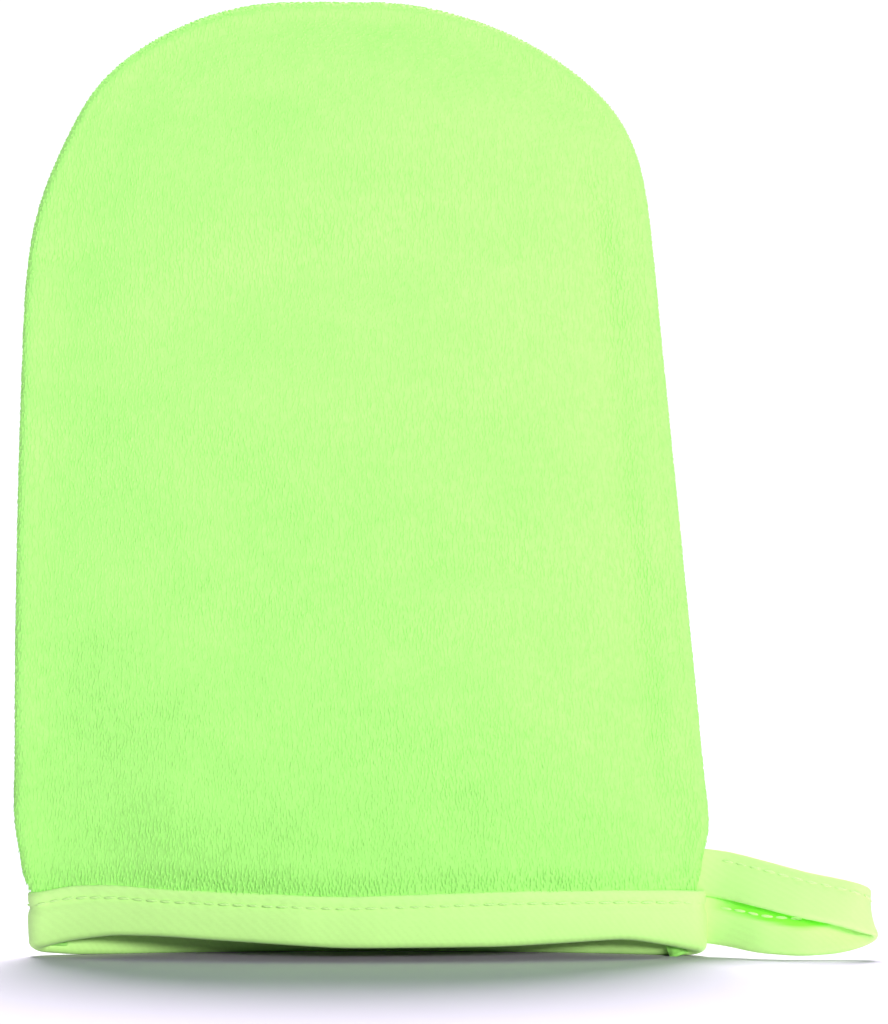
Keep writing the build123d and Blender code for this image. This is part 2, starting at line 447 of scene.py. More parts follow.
# ---- the mitt's form ----
hem_places = (-74, -66, -56, -45, -6, 30, 56, 66, 74)  # millimetres across the cuff
front_hem = (1.6, 3.8, 5.3, 5.2, 3.0, 3.2, 4.4, 2.6, 0.6)
back_hem = (1.0, 0.1, 0.0, 0.0, 0.0, 0.0, 0.0, 0.0, 0.3)
front_top = (13.8, 16.0, 16.4, 15.7, 14.4, 15.4, 15.3, 15.0, 14.6)
back_top = (13.8, 14.0, 14.2, 14.2, 14.3, 14.5, 14.4, 14.5, 14.6)


def cuff_line(heights, x):
    """A height above the floor along the cuff, in metres, eased between its places."""
    x = np.asarray(x, float) / mm
    fine = np.linspace(hem_places[0], hem_places[-1], 297)
    values = np.interp(fine, hem_places, heights)
    kernel = np.hanning(25)
    eased = np.convolve(np.pad(values, 12, mode="edge"), kernel / kernel.sum(), "valid")
    return np.interp(x, fine, eased) * mm


def seam_outline():
    """The side seams and crown in the plane y = 0, from the left end of the cuff over the top."""
    tree = cad_tree("back_panel")
    centre = Vector(((panel_low.x + panel_high.x) / 2, 0.04 * mm, panel_high.z / 2))
    low_z = 3 * mm
    left_turn = math.atan2(low_z - centre.z, centre.x - panel_low.x - 4 * mm)
    right_turn = math.atan2(low_z - centre.z, panel_high.x - 3 * mm - centre.x)
    points = []
    for turn in np.linspace(left_turn, math.pi - right_turn, 900):
        way = Vector((-math.cos(turn), 0, math.sin(turn)))
        spot = tree.ray_cast(centre + way * 0.4, -way)[0]
        if spot is not None:
            points.append((spot.x, spot.z))
    points = np.array(points)
    points = respaced(points, np.linspace(0, along(points)[-1], 1200))
    points = softened(points, 12)
    feet = points[[0, -1]] * (1, 0)
    return np.concatenate([feet[:1], points, feet[1:]])


def outward(points):
    """Unit directions out of the outline, in its plane."""
    run = unit(np.gradient(points, axis=0))
    return np.stack([-run[:, 1], run[:, 0]], axis=1)


def mouth(offset, count):
    """The cuff's lens-shaped line at a distance out from the mouth's inside, seen from above.

    It runs from the left end along the front to the right end and back along the rear.
    """
    sizes = bpy.context.scene.mitt_sizes
    inner = mouth_wall(sizes)
    outline = seam_outline()
    left = outline[0, 0] + inner
    right = outline[-1, 0] - inner
    depth = rear_depth(cad_tree("back_panel"), 0, 6 * mm) - inner
    middle, half = (left + right) / 2, (right - left) / 2
    share = np.linspace(-1, 1, 400)
    x = middle + half * share
    y = -depth * (1 - share**2)
    slope = 2 * depth * share / half
    way = unit(np.stack([slope, -np.ones_like(slope)], axis=1))
    front = np.stack([x, y], axis=1) + offset * way
    start, stop = np.arctan2(way[[0, -1], 1], way[[0, -1], 0])
    ends = []
    for corner, turns in (
        (left, np.linspace(-math.pi, start, 24)[:-1]),
        (right, np.linspace(stop, 0, 24)[1:]),
    ):
        ends.append([(corner + offset * math.cos(t), offset * math.sin(t)) for t in turns])
    half_line = np.concatenate([ends[0], front, ends[1]])
    rear = half_line[::-1][1:-1] * (1, -1)
    ring = np.concatenate([half_line, rear, half_line[:1]])
    places = np.linspace(0, along(ring)[-1], count, endpoint=False)
    return respaced(ring, places)


inner_leg = 1.2 * mm  # the leg of the cuff tape that lies inside the mouth


def mouth_wall(sizes):
    """From the inside of the cuff tape to the outside of the pressed cloth."""
    return inner_leg + sizes.cloth


def coons(left, top, right, bottom):
    """A grid of points fitted between four edges; rows run up, columns run across."""
    v = np.linspace(0, 1, len(left))[:, None, None]
    u = np.linspace(0, 1, len(top))[None, :, None]
    sides = (1 - u) * left[:, None] + u * right[:, None]
    ends = (1 - v) * bottom[None] + v * top[None]
    corners = (1 - u) * (1 - v) * bottom[0] + u * (1 - v) * bottom[-1]
    corners = corners + (1 - u) * v * top[0] + u * v * top[-1]
    return sides + ends - corners


def waves(x, z, seed, scale, count=7):
    """Soft undulation about 0 and 1 high, made of waves that lie in all directions."""
    rng = np.random.default_rng(seed)
    total = np.zeros(np.shape(x))
    for _ in range(count):
        turn, phase = rng.uniform(0, 2 * math.pi, 2)
        size = scale * rng.uniform(0.7, 1.6)
        total += np.sin((x * math.cos(turn) + z * math.sin(turn)) * 2 * math.pi / size + phase)
    return total / math.sqrt(count)


def front_relief(x, z, inset):
    """Ridges and hollows of the front panel: the seam allowance showing through, and dents."""
    right = smoothstep(x, 20 * mm, 40 * mm) * smoothstep(z, 22 * mm, 50 * mm)
    right = right * (1 - smoothstep(z, 150 * mm, 190 * mm))
    ridge = 0.8 * mm * hill(inset, 6.5 * mm, 3.5 * mm) * right
    groove = -1.1 * mm * hill(inset, 12.5 * mm, 4 * mm) * right
    band = -0.5 * mm * hill(z, 70 * mm, 9 * mm) * smoothstep(x, -70 * mm, -20 * mm)
    arc_z = 84 * mm - 6 * mm * ((x - 20 * mm) / (45 * mm)) ** 2
    arc = -0.5 * mm * hill(z, arc_z, 3 * mm) * hill(x, 20 * mm, 38 * mm)
    crease_z = 152 * mm + 0.06 * (x + 76 * mm)
    crease = -0.8 * mm * hill(z, crease_z, 2.2 * mm) * hill(x, -74 * mm, 15 * mm)
    return ridge + groove + band + arc + crease


def back_relief(x, z, inset):
    """The back panel's own: a shallow ridge along both sides and a long soft fold."""
    both = smoothstep(z, 22 * mm, 50 * mm) * (1 - smoothstep(z, 160 * mm, 195 * mm))
    ridge = 0.5 * mm * hill(inset, 6.5 * mm, 3.5 * mm) * both
    groove = -0.7 * mm * hill(inset, 12.5 * mm, 4 * mm) * both
    fold_x = 14 * mm + 0.25 * (z - 90 * mm)
    fold = -0.9 * mm * hill(x, fold_x, 7 * mm) * hill(z, 78 * mm, 50 * mm)
    return ridge + groove + fold


class PanelForm:
    """One panel's outer surface: a grid, and the strips that roll into the side seam."""

    def __init__(self, side):
        self.side = side  # -1 for the front, 1 for the back
        self.sizes = bpy.context.scene.mitt_sizes
        self.hem, self.top = (front_hem, front_top) if side < 0 else (back_hem, back_top)
        self.outline = seam_outline()
        self.tree = cad_tree("back_panel")
        self.lay_grid()
        self.lay_strips()

    def lay_grid(self):
        """Columns and rows of the flat grid inside the roll, then its depth."""
        sizes = self.sizes
        far = along(self.outline)
        base = 1.5 * mm
        starts = self.outline[0, 0], self.outline[-1, 0]
        foot = [cuff_line(self.hem, x) + base for x in starts]
        below = abs(self.outline[:, 1] - 0.9 * panel_high.z)
        half = len(below) // 2
        shoulders = np.argmin(below[:half]), half + np.argmin(below[half:])
        ends = [foot[0], far[shoulders[0]], far[shoulders[1]], far[-1] - foot[1]]
        self.side_rows = round((ends[1] - ends[0]) / sizes.grid / 4) * 4
        self.top_columns = round((ends[2] - ends[1]) / sizes.grid / 4) * 4
        counts = (self.side_rows, self.top_columns, self.side_rows)
        places = [np.linspace(a, b, n + 1) for a, b, n in zip(ends, ends[1:], counts)]
        self.places = np.concatenate([places[0], places[1][1:], places[2][1:]])
        self.rim = respaced(self.outline, self.places)
        self.rim_out = unit(softened(outward(self.rim), 3))
        top_edge = cuff_line(self.top, self.rim[:, 0])
        free = smoothstep(self.rim[:, 1], top_edge - 1 * mm, top_edge + 6 * mm)
        self.roll = sizes.cuff_roll + (sizes.edge_roll - sizes.cuff_roll) * free
        swell = hill(self.rim[:, 1], top_edge + 4 * mm, 4.5 * mm)
        flare = hill(self.rim[:, 1], top_edge + 5 * mm, 9 * mm) * (self.rim[:, 0] > 0)
        grow = 0.75 * sizes.bulge * swell + 1.2 * mm * flare + self.stretch()
        self.rim = self.rim + self.rim_out * grow[:, None]
        inner = self.rim - self.rim_out * self.roll[:, None]
        a, b = self.side_rows, self.side_rows + self.top_columns
        x = np.linspace(inner[0, 0], inner[-1, 0], self.top_columns + 1)
        bottom = np.stack([x, cuff_line(self.hem, x) + base], axis=1)
        bottom[0], bottom[-1] = inner[0], inner[-1]
        flat = coons(inner[: a + 1], inner[a : b + 1], inner[b:][::-1], bottom)
        self.x, self.z = flat[..., 0], flat[..., 1]
        self.y = self.side * self.depth()
        self.y = self.y + self.settle()

    def stretch(self):
        """How far the worn seam stands out from the cut line, along the rim."""
        x, z = self.rim.T
        left = 1.3 * mm * hill(z, 191 * mm, 10 * mm) + 0.6 * mm * hill(z, 95 * mm, 40 * mm)
        right = 0.3 * mm * hill(z, 190 * mm, 20 * mm) + 0.1 * mm
        crown = -0.3 * mm * smoothstep(z, 198 * mm, 208 * mm)
        return np.where(x < 0, left * smoothstep(-x, 8 * mm, 40 * mm), right) + crown

    def depth(self):
        """How far the surface stands from the plane of the seam, at each point of the grid."""
        sizes = self.sizes
        x, z = self.x, self.z
        spots = np.stack([x.ravel(), z.ravel()], axis=1)
        rim = self.rim[::2]
        inset = np.min([np.linalg.norm(spots - point, axis=1) for point in rim], axis=0)
        inset = inset.reshape(x.shape)
        cad = [rear_depth(self.tree, a, max(b, 2 * mm)) for a, b in spots]
        cad = blurred(np.reshape(cad, x.shape), 12)
        edge = sizes.edge_roll * (1 + math.sin(seam_turn))
        shoulder = 1 - np.exp(-np.maximum(inset - sizes.edge_roll, 0) / (5 * mm))
        full = np.sqrt(edge**2 + (cad * shoulder) ** 2)
        relief = front_relief if self.side < 0 else back_relief
        soft = smoothstep(inset, 4 * mm, 22 * mm)
        full = full + relief(x, z, inset) + 0.35 * mm * waves(x, z, 5 + self.side, 70 * mm) * soft
        full = full + 0.12 * mm * waves(x, z, 8 + self.side, 18 * mm) * soft
        ring = mouth(mouth_wall(sizes), 800)
        ring = ring[ring[:, 1] <= 0]
        ring = ring[np.argsort(ring[:, 0])]
        pressed = np.interp(x, ring[:, 0], -ring[:, 1])
        top_edge = cuff_line(self.top, x)
        free = smoothstep(z, top_edge - 1.5 * mm, top_edge + 6 * mm)
        swell = hill(z, top_edge + 3.5 * mm, 4.5 * mm)
        return pressed + (full - pressed) * free + sizes.bulge * swell * np.clip(shoulder, 0.3, 1)

    def settle(self):
        """How far each point of the grid moves, front to back, once the cloth takes up its slack.

        A coarse copy is held along the seam and under the tape. Its slack is uneven, as
        hand-fed plush is, and the cloth solver finds where it comes to rest.
        """
        step, frames, most = 4, 20, 2 * mm
        coarse = self.grid_points()[::step, ::step]
        rows, columns = coarse.shape[:2]
        made = new_object("slack_cloth", coarse.reshape(-1, 3), grid_faces(rows, columns))
        x, y, z = np.moveaxis(coarse, -1, 0)
        held = z < cuff_line(self.top, x) + 4 * mm
        held[:, 0] = held[:, -1] = held[-1] = True
        pins = made.vertex_groups.new(name="held")
        pins.add(np.flatnonzero(held).tolist(), 1.0, "REPLACE")
        slack = made.vertex_groups.new(name="slack")
        share = np.clip(0.5 + 0.3 * waves(x, z, 21 + self.side, 60 * mm), 0, 1)
        for index, weight in enumerate(share.ravel()):
            slack.add([index], float(weight), "REPLACE")
        cloth = made.modifiers.new("cloth", "CLOTH")
        cloth.settings.vertex_group_mass = pins.name
        cloth.settings.vertex_group_shrink = slack.name
        cloth.settings.shrink_min = -0.012
        cloth.settings.shrink_max = 0.004
        cloth.settings.bending_stiffness = 2.0
        cloth.settings.effector_weights.gravity = 0
        cloth.collision_settings.use_collision = False
        scene = bpy.context.scene
        for number in range(1, frames + 1):
            scene.frame_set(number)
        now = made.evaluated_get(bpy.context.evaluated_depsgraph_get()).data
        spots = np.zeros(rows * columns * 3)
        now.vertices.foreach_get("co", spots)
        shift = spots.reshape(rows, columns, 3)[..., 1] - y
        scene.frame_set(1)
        bpy.data.objects.remove(made)
        shift = np.clip(blurred(shift, 1), -most, most)
        rows, columns = self.x.shape
        across = np.arange(columns) / step
        fine = np.array([np.interp(across, np.arange(shift.shape[1]), row) for row in shift])
        upward = np.arange(rows) / step
        fine = np.array([np.interp(upward, np.arange(len(fine)), line) for line in fine.T]).T
        return blurred(fine, 4)

    def lay_strips(self):
        """Rows of the roll, from the grid's rim down into the seam, then of the allowance."""
        sizes = self.sizes
        wall = np.minimum(sizes.cloth, 0.8 * self.roll)
        lift = self.around(abs(self.y)) / (self.roll * (1 + math.sin(seam_turn)))
        self.strips, self.lining_strips = [], []
        for turn in np.linspace(math.pi / 2, -seam_turn, 12)[1:]:
            inner = self.roll - wall
            for strips, radius in ((self.strips, self.roll), (self.lining_strips, inner)):
                out = radius * math.cos(turn) - self.roll
                up = radius * math.sin(turn) + self.roll * math.sin(seam_turn)
                strips.append(self.strip(out, up * lift))
        self.roll_rows = len(self.strips)
        start = self.roll * (math.cos(seam_turn) - 1)
        for share in (0.3, 0.65, 1.0):
            out = start + (-sizes.allowance - start) * share
            self.strips.append(self.strip(out, 0.03 * mm))
            self.lining_strips.append(self.strip(out, 0.03 * mm + wall * math.sin(seam_turn)))

    def strip(self, out, up):
        """A row of points round the rim, so far out of it and up from the seam's plane."""
        spots = self.rim + self.rim_out * np.reshape(out, (-1, 1))
        return np.stack([spots[:, 0], np.full(len(spots), self.side) * up, spots[:, 1]], axis=1)

    def around(self, field):
        """A grid's values round its left, top and right rims."""
        return np.concatenate([field[:, 0], field[-1, 1:-1], field[::-1, -1]])

    def grid_points(self):
        return np.stack([self.x, self.y, self.z], axis=-1)

    def lining_grid(self):
        """The grid moved in by the cloth's thickness."""
        points = self.grid_points()
        across = np.gradient(points, axis=1)
        upward = np.gradient(points, axis=0)
        way = unit(np.cross(across, upward))
        way *= self.side * np.sign(way[..., 1:2])
        top_edge = cuff_line(self.top, self.x)
        free = smoothstep(self.z, top_edge - 1 * mm, top_edge + 6 * mm)
        wall = 0.8 * self.sizes.cuff_roll
        wall = wall + (self.sizes.cloth - wall) * free
        return points - wall[..., None] * way

    def mesh_data(self, grid, strips):
        """Points and faces of a grid and the strips round it."""
        rows, columns = self.x.shape
        points = [grid.reshape(-1, 3), *strips]
        faces = grid_faces(rows, columns)
        last = self.around(np.arange(rows * columns).reshape(rows, columns))
        for number, strip in enumerate(strips):
            this = rows * columns + number * len(strip) + np.arange(len(strip))
            quads = np.stack([last[:-1], last[1:], this[1:], this[:-1]], axis=1)
            faces += [tuple(quad) for quad in quads]
            last = this
        if self.side > 0:
            faces = [face[::-1] for face in faces]
        return np.concatenate(points), faces


seam_turn = math.radians(50)  # how far past the edge each panel rolls before it meets the other
forms = {}


def panel_form(side):
    if side not in forms:
        forms[side] = PanelForm(side)
    return forms[side]


def closed_sheet(name, outer, inner, faces, outside, inside):
    """Cloth with two faces and a rim: the same faces on both, and the edges joined."""
    count = len(outer)
    lining = [tuple(v + count for v in face[::-1]) for face in faces]
    edges = {(a, b) for face in faces for a, b in zip(face, face[1:] + face[:1])}
    rim = [(b, a, a + count, b + count) for a, b in edges if (b, a) not in edges]
    made = new_object(name, np.concatenate([outer, inner]), faces + lining + sorted(rim))
    made.data.materials.append(outside)
    made.data.materials.append(inside)
    side = np.zeros(len(made.data.polygons), np.int32)
    side[len(faces) : 2 * len(faces)] = 1
    made.data.polygons.foreach_set("material_index", side)
    return made


def make_panel(name, node, side):
    """A closed sheet of plush: the outer surface, its backing and the allowance in the seam."""
    form = panel_form(side)
    outer, faces = form.mesh_data(form.grid_points(), form.strips)
    inner, faces = form.mesh_data(form.lining_grid(), form.lining_strips)
    made = closed_sheet(name, outer, inner, faces, finish("plush"), finish("backing"))
    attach(made, "root")
    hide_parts(node)


class MITT_OT_panels(bpy.types.Operator):
    """Makes the front and back plush panels, rolled into the side seam"""

    bl_idname = "mitt.panels"
    bl_label = "Plush panels"

    def execute(self, context):
        make_panel("front_plush", "front_panel", -1)
        make_panel("back_plush", "back_panel", 1)
        return {"FINISHED"}


# ---- pile ----
def pile_tree():
    """Tufts over a surface: small flat cones that lie downwards, each a little its own way."""
    inputs = dict.fromkeys(("Spacing", "Tuft Length", "Tuft Width", "Lean"), "Float")
    g, given = new_tree("pile", {**inputs, "Seed": "Int", "Finish": "Material"})
    cover = g.add("GeometryNodeInputNamedAttribute", {"data_type": "FLOAT"}, {"Name": "pile"})
    scattered = g.add(
        "GeometryNodeDistributePointsOnFaces",
        {"distribute_method": "POISSON"},
        {
            "Mesh": given["Geometry"],
            "Distance Min": given["Spacing"],
            "Density Max": 4e6,
            "Density Factor": cover,
            "Seed": given["Seed"],
        },
    )
    stray = g.random((-1.1, -0.2, -0.5), (1.1, 0.2, 0.5), given["Seed"])
    down = g.vector(Z=given["Lean"] * -1.0)
    way = g.vector_math("ADD", g.vector_math("ADD", scattered.other("Normal"), down), stray)
    turned = g.add(
        "FunctionNodeAxesToRotation",
        {"primary_axis": "Z", "secondary_axis": "X"},
        {"Primary Axis": way, "Secondary Axis": scattered.other("Normal")},
    )
    tuft = g.add(
        "GeometryNodeMeshCone",
        {"fill_type": "NONE"},
        {
            "Vertices": 3,
            "Side Segments": 1,
            "Radius Top": 0.0,
            "Radius Bottom": given["Tuft Width"],
            "Depth": given["Tuft Length"],
        },
    )
    sunk = g.vector(Z=given["Tuft Length"] * -0.15)
    tuft = g.add(
        "GeometryNodeTransform",
        {},
        {"Geometry": tuft, "Translation": sunk, "Scale": (0.3, 1.0, 1.0)},
    )
    size = g.random(0.85, 1.15, given["Seed"])
    tufts = g.add(
        "GeometryNodeInstanceOnPoints",
        {},
        {"Points": scattered, "Instance": tuft, "Rotation": turned, "Scale": size},
    )
    return close_tree(g, tufts, given["Finish"])


class MITT_OT_pile(bpy.types.Operator):
    """Grows the short pile over both panels"""

    bl_idname = "mitt.pile"
    bl_label = "Pile"

    def execute(self, context):
        sizes = context.scene.mitt_sizes
        tree = pile_tree()
        for name, side in (("front_pile", -1), ("back_pile", 1)):
            form = panel_form(side)
            points, faces = form.mesh_data(form.grid_points(), form.strips[: form.roll_rows - 1])
            made = new_object(name, points, faces)
            edge = cuff_line(form.top, points[:, 0])
            set_attribute(made, "pile", "FLOAT", (points[:, 2] > edge - 0.3 * mm).astype(float))
            with_nodes(
                made,
                tree,
                Spacing=sizes.tuft_spacing,
                Tuft_Length=sizes.tuft_length,
                Tuft_Width=sizes.tuft_width,
                Lean=sizes.tuft_lean,
                Seed=sizes.seed,
                Finish=finish("plush"),
            )
            made.data.shade_flat()
            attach(made, "root")
        return {"FINISHED"}


# ---- cuff tape ----
def leg_profile(width, leg, gap, stitch_at, dimple):
    """A folded strip's cross-section, as (distance from its middle, height above its fold).

    It runs up the outside, over the free edge, down inside the fold and up the other leg.
    """
    half = gap / 2
    outside = []
    for share in np.linspace(0.12, 1, 14):
        height = width * share
        puff = 0.18 * leg * math.sin(math.pi * share)
        puff -= dimple * hill(height, stitch_at, 0.9 * mm)
        outside.append((half + leg + puff, height))
    edge = [(half + leg * 0.8, width + leg * 0.28), (half + leg * 0.35, width + leg * 0.3)]
    inside = [(half, width - leg * 0.1), (half, width * 0.6), (half, width * 0.2)]
    right = outside + edge + inside
    left = [(-a, b) for a, b in right[::-1]]
    outer = half + leg
    fold = [
        (-outer * math.cos(t), width * 0.12 - min(outer, width * 0.12) * math.sin(t))
        for t in np.linspace(0, math.pi, 11)[1:-1]
    ]
    return np.array(right + [(0, width * 0.2 - half)] + left + fold)


cuff_count = 420  # places round the cuff


def cuff_ring(count):
    """Places round the cuff: the mouth's line, its outward way, and where front turns to back."""
    wall = mouth_wall(bpy.context.scene.mitt_sizes)
    line = mouth(inner_leg + (wall - inner_leg) / 2, count)
    run = unit(np.roll(line, -1, axis=0) - np.roll(line, 1, axis=0))
    way = np.stack([run[:, 1], -run[:, 0]], axis=1)
    front = smoothstep(-line[:, 1], -2 * mm, 2 * mm)
    return line, way, front


def cuff_heights(line, front):
    """The tape's lower and upper edge round the cuff."""
    x = line[:, 0]
    edges = (front_hem, back_hem), (front_top, back_top)
    return [front * cuff_line(a, x) + (1 - front) * cuff_line(b, x) for a, b in edges]


class MITT_OT_cuff_tape(bpy.types.Operator):
    """Folds the binding tape round the raw edge of the cuff"""

    bl_idname = "mitt.cuff_tape"
    bl_label = "Cuff tape"

    def execute(self, context):
        sizes = context.scene.mitt_sizes
        count = cuff_count
        line, way, front = cuff_ring(count)
        hem, top = cuff_heights(line, front)
        round_length = along(np.concatenate([line, line[:1]]))
        usual = 11 * mm
        stitch_at = usual - sizes.stitch_drop
        profile = leg_profile(usual, sizes.tape_leg, sizes.cloth, stitch_at, 0.5 * mm)
        rng = np.random.default_rng(sizes.seed)
        wobble = softened(rng.normal(0, 1, (count, 3)), 3)
        rings = []
        for i in range(count):
            pull = math.cos(2 * math.pi * round_length[i] / sizes.stitch_pitch)
            joint = float(hill(line[i, 0], line[:, 0].max(), 5 * mm))
            rise = (top[i] - hem[i]) / (usual + 0.3 * sizes.tape_leg)
            ring = []
            for out, height in profile:
                share = height / usual
                shift = math.copysign(1, out) * (
                    0.05 * mm * pull * share + 0.25 * mm * joint + 0.12 * mm * wobble[i, 0]
                )
                lean = 0.25 * mm * wobble[i, 1] * share
                far = out + shift + lean
                z = hem[i] + height * rise + 0.12 * mm * wobble[i, 2] * share
                ring.append((line[i, 0] + way[i, 0] * far, line[i, 1] + way[i, 1] * far, z))
            rings.append(ring)
        faces = grid_faces(count + 1, len(profile), closed=True)
        faces = [tuple(v % (count * len(profile)) for v in face) for face in faces]
        made = new_object("cuff_binding", np.reshape(rings, (-1, 3)), faces)
        made.data.materials.append(finish("tape"))
        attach(made, "root")
        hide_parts("cuff_tape")
        return {"FINISHED"}


# ---- stitches ----
def stitch_tree():
    """Stitches along a line: one rounded thread after another, lying on the cloth."""
    inputs = dict.fromkeys(("Pitch", "Stitch Length", "Thread", "Slant"), "Float")
    g, given = new_tree("stitches", {**inputs, "Seed": "Int", "Finish": "Material"})
    line = g.add("GeometryNodeMeshToCurve", {}, {"Mesh": given["Geometry"]})
    spots = g.add(
        "GeometryNodeResampleCurve", {"mode": "LENGTH"}, {"Curve": line, "Length": given["Pitch"]}
    )
    run = g.add("GeometryNodeInputTangent")
    kind = {"data_type": "FLOAT_VECTOR"}
    out = g.add("GeometryNodeInputNamedAttribute", kind, {"Name": "outward"})
    turned = g.add(
        "FunctionNodeAxesToRotation",
        {"primary_axis": "X", "secondary_axis": "Z"},
        {"Primary Axis": run, "Secondary Axis": out},
    )
    spin = g.vector(Z=g.random(-0.06, 0.06, given["Seed"]) + given["Slant"])
    spin = g.add("FunctionNodeEulerToRotation", {}, {"Euler": spin})
    turned = g.add(
        "FunctionNodeRotateRotation",
        {"rotation_space": "LOCAL"},
        {"Rotation": turned, "Rotate By": spin},
    )
    ball = g.add("GeometryNodeMeshUVSphere", {}, {"Segments": 6, "Rings": 5, "Radius": 1.0})
    thread = given["Thread"]
    shape = g.vector(X=given["Stitch Length"] * 0.5, Y=thread, Z=thread * 0.8)
    size = g.random(0.9, 1.08, given["Seed"])
    upright = {"Geometry": ball, "Rotation": (0, math.pi / 2, 0)}
    ball = g.add("GeometryNodeTransform", {}, upright)
    ball = g.add("GeometryNodeTransform", {}, {"Geometry": ball, "Scale": shape})
    stitches = g.add(
        "GeometryNodeInstanceOnPoints",
        {},
        {"Points": spots, "Instance": ball, "Rotation": turned, "Scale": size},
    )
    return close_tree(g, stitches, given["Finish"])


def stitch_line(name, points, out, body, node, closed=False, slant=0.0, pitch=None, span=None):
    """Stitches along a line of points, lying on the side that out points to."""
    sizes = bpy.context.scene.mitt_sizes
    tree = bpy.data.node_groups.get("stitches") or stitch_tree()
    count = len(points)
    edges = [(i, i + 1) for i in range(count - 1)] + ([(count - 1, 0)] if closed else [])
    made = new_object(name, points, [], edges)
    set_attribute(made, "outward", "FLOAT_VECTOR", out)
    with_nodes(
        made,
        tree,
        Pitch=pitch or sizes.stitch_pitch,
        Stitch_Length=span or sizes.stitch_length,
        Thread=sizes.thread,
        Slant=slant,
        Seed=sizes.seed,
        Finish=finish("thread"),
    )
    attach(made, body)
    if node:
        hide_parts(node)


class MITT_OT_cuff_stitches(bpy.types.Operator):
    """Sews the cuff tape on: needle thread outside, bobbin thread inside"""

    bl_idname = "mitt.cuff_stitches"
    bl_label = "Cuff stitches"

    def execute(self, context):
        sizes = context.scene.mitt_sizes
        line, way, front = cuff_ring(cuff_count)
        hem, top = cuff_heights(line, front)
        height = top - sizes.stitch_drop
        reach = sizes.cloth / 2 + sizes.tape_leg - 0.1 * mm
        keep = slice(4, None)
        for name, node, sign in (
            ("needle_stitches", "cuff_needle_thread", 1),
            ("bobbin_stitches", "cuff_bobbin_thread", -1),
        ):
            spots = line + sign * reach * way
            points = np.stack([spots[:, 0], spots[:, 1], height], axis=1)
            out = np.stack([sign * way[:, 0], sign * way[:, 1], np.zeros(len(way))], axis=1)
            stitch_line(name, points[keep], out[keep], "root", node)
        return {"FINISHED"}


class MITT_OT_side_seam(bpy.types.Operator):
    """Sews the side seam and overlocks the raw edge of its allowance"""

    bl_idname = "mitt.side_seam"
    bl_label = "Side seam"

    def execute(self, context):
        sizes = context.scene.mitt_sizes
        form = panel_form(-1)
        inset = 3.2 * mm
        spots = form.rim - form.rim_out * inset
        points = np.stack([spots[:, 0], np.full(len(spots), -sizes.cloth), spots[:, 1]], axis=1)
        out = np.tile((0.0, -1.0, 0.0), (len(points), 1))
        stitch_line("seam_stitches", points[4:-4], out[4:-4], "root", "seam_thread")
        edge = form.rim - form.rim_out * (sizes.allowance + 0.2 * mm)
        points = np.stack([edge[:, 0], np.zeros(len(edge)), edge[:, 1]], axis=1)
        out = -form.rim_out
        out = np.stack([out[:, 0], np.zeros(len(out)), out[:, 1]], axis=1)
        keep = points[:, 2] > tape_top
        stitch_line(
            "overlock_stitches",
            points[keep],
            out[keep],
            "root",
            "seam_overlock",
            slant=1.15,
            pitch=0.9 * mm,
            span=4.6 * mm,
        )
        return {"FINISHED"}


# ---- hanging loop ----
class MITT_OT_loop(bpy.types.Operator):
    """Runs the folded tape out of the right seam, round its far turn and back"""

    bl_idname = "mitt.loop"
    bl_label = "Hanging loop"

    def execute(self, context):
        sizes = context.scene.mitt_sizes
        points, across = ribbon_path(150)
        width = sizes.loop_width
        profile = leg_profile(width, sizes.loop_leg, 0.12 * mm, width - 2 * mm, 0.12 * mm)
        profile = profile - (0, width / 2)
        face = unit(np.cross(unit(np.gradient(points, axis=0)), across))
        frames = zip(points, face, across)
        rings = [[spot + f * a + w * b for a, b in profile] for spot, f, w in frames]
        count = len(profile)
        faces = grid_faces(len(rings), count, closed=True)
        faces.append(tuple(range(count))[::-1])
        faces.append(tuple(range((len(rings) - 1) * count, len(rings) * count)))
        made = new_object("loop_ribbon", np.array(rings).reshape(-1, 3), faces)
        made.data.materials.append(finish("tape"))
        # Painted shade: the fold attribute marks the rear strand's face just under the front
        # strand, where the gap between the strands lies in shadow, and the tape finish darkens it
        # there.
        share = np.linspace(0, 1, len(rings))[:, None]
        painted_shade_mask = smoothstep(share, 0.56, 0.62) * (1 - smoothstep(share, 0.86, 0.97))
        painted_shade_from = 2.6 * mm - 1.5 * mm * hill(share, 0.68, 0.12)
        painted_shade_mask = painted_shade_mask * smoothstep(profile[:, 1] - painted_shade_from, -0.5 * mm, 0.5 * mm) * 0.9
        set_attribute(made, "fold", "FLOAT", painted_shade_mask)
        stitch_reach = sizes.loop_leg + 0.02 * mm
        rows = slice(14, -14)
        edge = points + across * (width / 2 - 2 * mm)
        for name, node, out in (
            ("loop_stitches", "loop_thread", face),
            ("loop_stitches_inside", None, -face),
        ):
            stitch_line(name, (edge + out * stitch_reach)[rows], out[rows], "loop", node)
        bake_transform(made)
        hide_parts("hanging_loop", "loop_tails")
        return {"FINISHED"}


